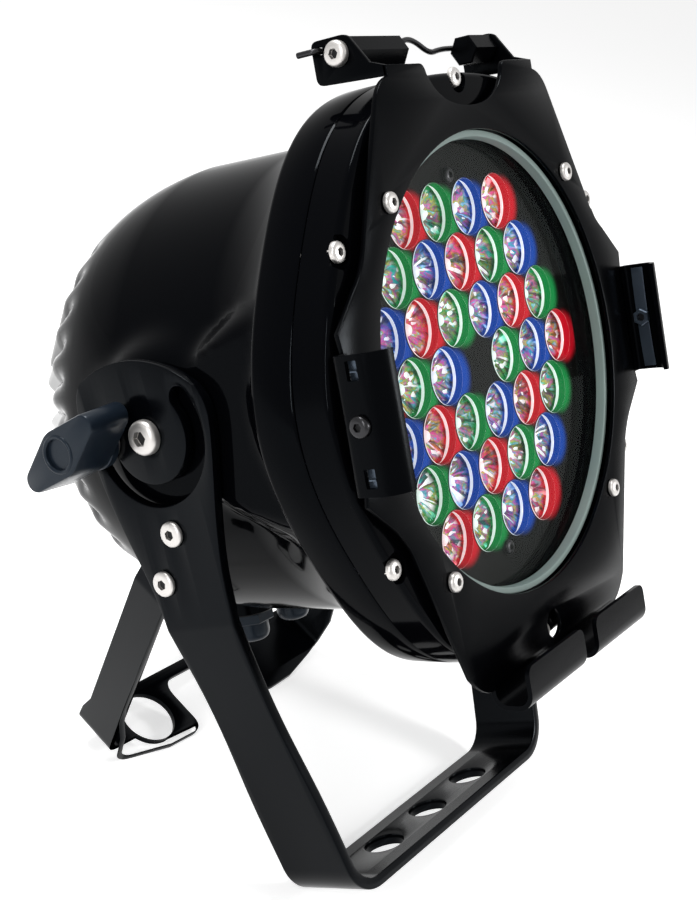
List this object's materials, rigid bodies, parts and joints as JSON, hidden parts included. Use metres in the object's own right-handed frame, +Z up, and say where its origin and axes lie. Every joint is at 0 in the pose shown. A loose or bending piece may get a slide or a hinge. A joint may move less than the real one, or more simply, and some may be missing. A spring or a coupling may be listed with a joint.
{
  "type": "par can light",
  "caption": "Stage par can light with LED lamps behind a round front glass, a ribbed cast body, a front plate with colour frame holders, and two bent stands with wing knobs.",
  "frame": {"origin": "on the floor, at the middle of the outline's length and width", "axes": "+Z up, the light shines towards -Y and upwards, +X to the right for a viewer who faces the glass"},
  "size_m": [0.2784, 0.292, 0.3444],
  "materials": {
    "body": "smooth gloss black paint over cast aluminium",
    "plate": "satin black powder coat on bent sheet",
    "stand": "satin dark grey powder coat on bent strap",
    "glass": "clear flat glass",
    "gasket": "pale grey green soft rubber",
    "board": "matt dark circuit board with coloured lamp holders",
    "heat_sink": "bare extruded aluminium",
    "supply": "bare folded aluminium case",
    "plastic": "satin black moulded plastic",
    "bright_steel": "bright stainless steel",
    "black_screws": "black oxide steel",
    "friction_washer": "matt dark fibre"
  },
  "bodies": {
    "stand": {"front_stand": "stand", "rear_stand": "stand", "stand_screw_left_1": "bright_steel", "stand_screw_left_2": "bright_steel", "stand_screw_right_1": "bright_steel", "stand_screw_right_2": "bright_steel"},
    "head": {"housing": "body", "bezel_ring": "body", "front_glass": "glass", "glass_gasket": "gasket", "inner_barrel": "body", "lamp_board": "board", "lamp_carrier": "board", "lamp_board_screw_1": "bright_steel", "lamp_board_screw_2": "bright_steel", "heat_sink": "heat_sink", "driver_board": "board", "power_supply": "supply", "power_gland": "plastic", "signal_gland": "plastic", "front_plate": "plate", "frame_spring_right": "black_screws", "frame_spring_left": "black_screws", "bezel_screw_1": "bright_steel", "bezel_screw_2": "bright_steel", "bezel_screw_3": "bright_steel", "bezel_screw_4": "bright_steel", "bezel_screw_5": "bright_steel", "bezel_screw_6": "bright_steel", "plate_screw_1": "bright_steel", "plate_screw_2": "bright_steel", "plate_screw_3": "bright_steel", "plate_screw_4": "bright_steel", "channel_screw_left": "black_screws", "channel_screw_right": "black_screws", "latch_bar_left": "plate", "latch_screw_left": "bright_steel", "latch_bar_right": "plate", "latch_screw_right": "bright_steel", "pivot_bolt_left": "bright_steel", "pivot_washer_left": "friction_washer", "pivot_bolt_right": "bright_steel", "pivot_washer_right": "friction_washer"},
    "knob_left": {"clamp_knob_left": "plastic", "clamp_stud_left": "bright_steel", "knob_washer_left": "bright_steel"},
    "knob_right": {"clamp_knob_right": "plastic", "clamp_stud_right": "bright_steel", "knob_washer_right": "bright_steel"},
    "latch_wire": {"latch_wire": "black_screws"}
  },
  "joints": [
    {"name": "head_tilt", "type": "hinge", "parent": "stand", "child": "head", "pos_m": [0, 0.01854, 0.1845], "axis": [-1, 0, 0], "range_deg": [-15, 175]},
    {"name": "knob_left_turn", "type": "hinge", "parent": "head", "child": "knob_left", "pos_m": [-0.1152, 0.03976, 0.1733], "axis": [-1, 0, 0], "range_deg": [0, 270]},
    {"name": "knob_right_turn", "type": "hinge", "parent": "head", "child": "knob_right", "pos_m": [0.1152, 0.03976, 0.1733], "axis": [1, 0, 0], "range_deg": [0, 270]},
    {"name": "latch_wire_turn", "type": "hinge", "parent": "head", "child": "latch_wire", "pos_m": [0, 0.01508, 0.33558], "axis": [1, 0, 0], "range_deg": [-60, 60]}
  ]
}
